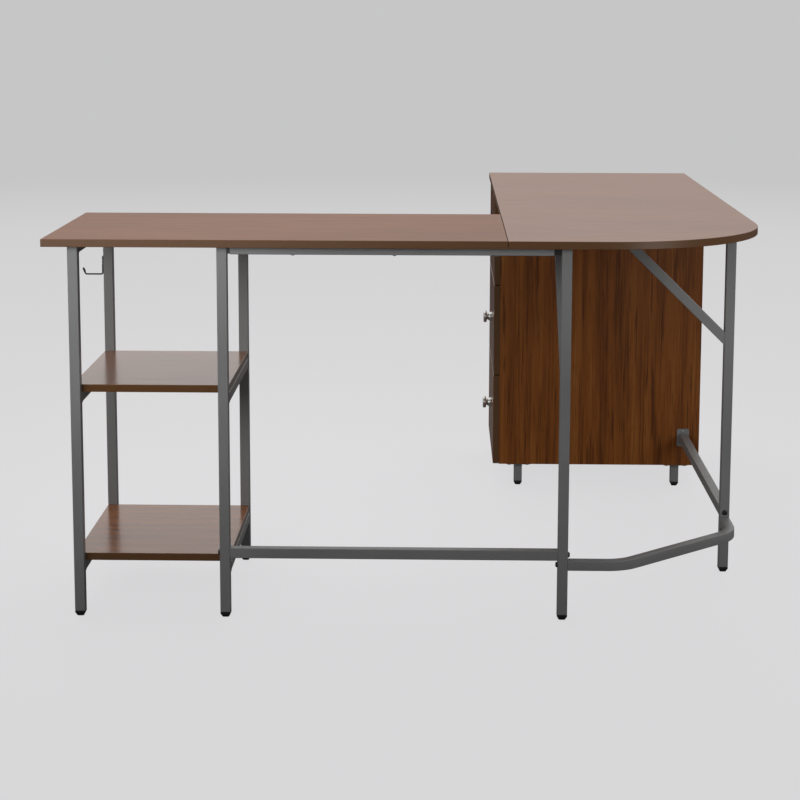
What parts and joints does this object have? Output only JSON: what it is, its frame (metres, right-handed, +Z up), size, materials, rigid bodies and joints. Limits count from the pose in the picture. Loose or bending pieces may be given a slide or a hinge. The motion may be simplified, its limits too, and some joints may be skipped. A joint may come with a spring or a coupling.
{
  "type": "corner desk",
  "caption": "L-shaped corner desk with a round outer corner, square steel tube frame, open shelf unit under one end and a cabinet of sliding drawers under the other.",
  "frame": {"origin": "centre of the desk's footprint, on the floor under it", "axes": "+X to the right along the front edge, from the shelf unit to the round corner; +Y back along the return, from the front edge to the drawer cabinet; +Z up"},
  "size_m": [1.412, 1.5, 0.75],
  "materials": {
    "top_laminate": "satin",
    "shelf_laminate": "satin",
    "front_laminate": "satin",
    "carcass_laminate": "satin",
    "drawer_box_board": "matt",
    "hardboard": "matt",
    "beech_dowel": "matt",
    "grey_powder_coat": "satin",
    "runner_coat": "satin",
    "black_plastic": "matt",
    "white_nylon": "satin",
    "black_steel": "satin",
    "zinc_steel": "satin",
    "satin_knob_metal": "satin"
  },
  "bodies": {
    "desk": {"wing_top_board": "top_laminate", "return_top_board": "top_laminate", "middle_shelf": "shelf_laminate", "lower_shelf": "shelf_laminate", "board_joining_plates": "zinc_steel", "top_board_screws": "zinc_steel", "shelf_screws": "zinc_steel", "outer_front_leg": "grey_powder_coat", "outer_rear_leg": "grey_powder_coat", "inner_front_leg": "grey_powder_coat", "inner_rear_leg": "grey_powder_coat", "corner_front_leg": "grey_powder_coat", "corner_side_leg": "grey_powder_coat", "outer_frame_rails": "grey_powder_coat", "inner_frame_rails": "grey_powder_coat", "front_top_rail": "grey_powder_coat", "top_rail_sockets": "black_steel", "front_stretcher": "grey_powder_coat", "stretcher_end_plugs": "zinc_steel", "frame_bolts": "black_steel", "corner_top_rails": "grey_powder_coat", "corner_braces": "grey_powder_coat", "corner_foot_rail": "grey_powder_coat", "side_stretcher": "grey_powder_coat", "leg_end_caps": "black_plastic", "bag_hook": "black_steel", "cabinet_near_side": "carcass_laminate", "cabinet_far_side": "carcass_laminate", "cabinet_bottom": "carcass_laminate", "cabinet_top": "carcass_laminate", "cabinet_back": "hardboard", "cabinet_legs": "grey_powder_coat", "plate_screws": "zinc_steel", "cabinet_dowels": "beech_dowel", "runner_channels": "runner_coat", "runner_rollers": "white_nylon"},
    "lower_drawer": {"lower_drawer_front": "front_laminate", "lower_drawer_sides": "drawer_box_board", "lower_drawer_back": "drawer_box_board", "lower_drawer_bottom": "hardboard", "lower_drawer_knob": "satin_knob_metal", "lower_drawer_knob_screw": "zinc_steel", "lower_drawer_slides": "runner_coat", "lower_drawer_rollers": "white_nylon"},
    "middle_drawer": {"middle_drawer_front": "front_laminate", "middle_drawer_sides": "drawer_box_board", "middle_drawer_back": "drawer_box_board", "middle_drawer_bottom": "hardboard", "middle_drawer_knob": "satin_knob_metal", "middle_drawer_knob_screw": "zinc_steel", "middle_drawer_slides": "runner_coat", "middle_drawer_rollers": "white_nylon"},
    "upper_drawer": {"upper_drawer_front": "front_laminate", "upper_drawer_sides": "drawer_box_board", "upper_drawer_back": "drawer_box_board", "upper_drawer_bottom": "hardboard", "upper_drawer_knob": "satin_knob_metal", "upper_drawer_knob_screw": "zinc_steel", "upper_drawer_slides": "runner_coat", "upper_drawer_rollers": "white_nylon"}
  },
  "joints": [
    {"name": "lower_drawer_slide", "type": "slide", "parent": "desk", "child": "lower_drawer", "axis": [-1, 0, 0], "range_m": [0, 0.35]},
    {"name": "middle_drawer_slide", "type": "slide", "parent": "desk", "child": "middle_drawer", "axis": [-1, 0, 0], "range_m": [0, 0.35]},
    {"name": "upper_drawer_slide", "type": "slide", "parent": "desk", "child": "upper_drawer", "axis": [-1, 0, 0], "range_m": [0, 0.35]}
  ]
}
